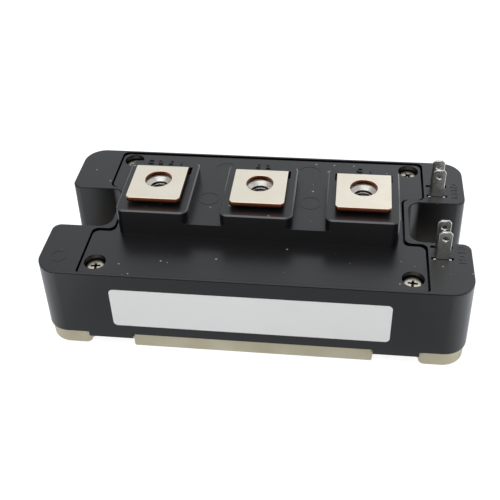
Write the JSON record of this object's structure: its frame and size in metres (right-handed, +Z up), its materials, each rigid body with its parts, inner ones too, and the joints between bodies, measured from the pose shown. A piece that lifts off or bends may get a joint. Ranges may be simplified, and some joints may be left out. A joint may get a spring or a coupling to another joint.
{
  "type": "igbt module",
  "caption": "Half-bridge power transistor module: black moulded case on a metal base plate, screw terminals on a raised rib, plug-on signal tabs and open end notches over the mounting holes.",
  "frame": {"origin": "centre of the base plate's underside", "axes": "+X along the length towards the signal tabs, -Y towards the labelled front, +Z up through the terminals"},
  "size_m": [0.094, 0.048, 0.0298],
  "materials": {
    "moulded_black": "fine satin moulded thermoplastic",
    "nickel_plate": "nickel-plated copper, satin",
    "sealant": "cured grey silicone",
    "zinc_steel": "zinc-plated steel",
    "nut_steel": "nickel-plated steel",
    "label_film": "blank grey film",
    "tinned_tab": "dull tin plating",
    "plated_copper": "satin nickel on copper",
    "solder": "grey solder",
    "bare_copper": "bare copper",
    "lead_sleeve": "insulated lead",
    "clear_gel": "clear silicone gel",
    "alumina": "white alumina",
    "silicon": "metallised silicon",
    "bond_aluminium": "drawn aluminium wire"
  },
  "bodies": {
    "root": {"base_plate": "nickel_plate", "case": "moulded_black", "lid": "moulded_black", "sealing_bead": "sealant", "lid_screws": "zinc_steel", "terminal_nuts": "nut_steel", "front_label": "label_film", "lower_gate_tab": "tinned_tab", "lower_emitter_tab": "tinned_tab", "upper_emitter_tab": "tinned_tab", "upper_gate_tab": "tinned_tab", "midpoint_terminal": "plated_copper", "negative_terminal": "plated_copper", "positive_terminal": "plated_copper", "joint_solder": "solder", "switch_link": "bare_copper", "upper_signal_leads": "lead_sleeve", "lower_signal_leads": "lead_sleeve", "silicone_gel": "clear_gel", "upper_ceramic": "alumina", "upper_bottom_foil": "bare_copper", "upper_base_solder": "solder", "upper_tracks": "bare_copper", "upper_igbt_chip": "silicon", "upper_diode_chip": "silicon", "upper_chip_solder": "solder", "upper_bond_wires": "bond_aluminium", "lower_ceramic": "alumina", "lower_bottom_foil": "bare_copper", "lower_base_solder": "solder", "lower_tracks": "bare_copper", "lower_igbt_chip": "silicon", "lower_diode_chip": "silicon", "lower_chip_solder": "solder", "lower_bond_wires": "bond_aluminium"}
  },
  "joints": []
}
